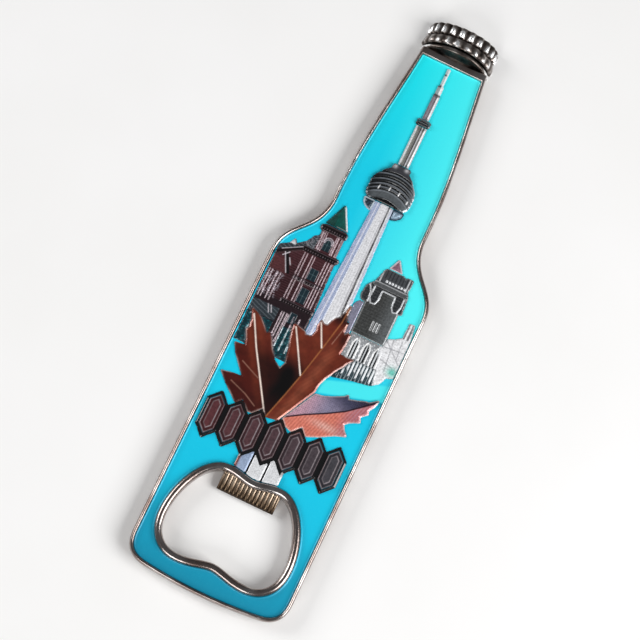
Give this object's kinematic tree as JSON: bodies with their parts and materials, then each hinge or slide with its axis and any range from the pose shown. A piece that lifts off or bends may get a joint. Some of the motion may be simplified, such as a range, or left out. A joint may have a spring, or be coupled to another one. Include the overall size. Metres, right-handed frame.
{
  "type": "souvenir bottle opener",
  "caption": "Flat bottle-shaped souvenir opener: raised rim, opener hole with a fluted lip, fluted crown, and a relief skyline and leaf on a blue panel.",
  "frame": {"origin": "middle of the outline's length and width, on the back face", "axes": "+Z out of the picture, up when the opener lies on its back; +Y from the bottle's base to its crown; +X to the right of the picture"},
  "size_m": [0.0378, 0.14, 0.0069],
  "materials": {
    "nickel": "bright nickel plate on a zinc casting, with tarnish in its corners",
    "bronze": "tumbled and lightly toned",
    "enamel": "glossy translucent lacquer, turquoise above running to deep blue below",
    "silver": "embossed foil, satin with bright ridges",
    "gunmetal": "dark metallic with bright edges",
    "brick": "dark maroon metallic print over embossing",
    "patina": "metallic green print",
    "stone": "grey metallic print over embossing",
    "copper": "copper-red metallic lacquer over embossing",
    "salmon": "pale metallic print with fine hatching",
    "black": "gloss black enamel",
    "ferrite": "ground ferrite"
  },
  "bodies": {
    "root": {"bottle_body": "nickel", "neck_collar": "nickel", "crown_cap": "nickel", "opener_lip": "bronze", "magnet_lower": "ferrite", "magnet_upper": "ferrite", "enamel_panel": "enamel", "frieze_backing": "black", "frieze_stud_1": "gunmetal", "frieze_stud_2": "gunmetal", "frieze_stud_3": "gunmetal", "frieze_stud_4": "gunmetal", "frieze_stud_5": "gunmetal", "frieze_stud_6": "gunmetal", "frieze_stud_7": "gunmetal", "leaf_main": "copper", "leaf_side_lobe": "salmon", "tower_shaft": "silver", "pod_ring_left": "silver", "pod_ring_right": "silver", "tower_pod": "gunmetal", "tower_neck": "silver", "mast_collar": "gunmetal", "tower_mast": "silver", "tower_leg_left": "silver", "tower_leg_middle": "silver", "tower_leg_right": "silver", "brick_house": "brick", "house_roof": "patina", "stone_tower": "stone", "stone_roof": "salmon", "stone_hall": "silver", "stone_flank": "stone"}
  },
  "joints": []
}
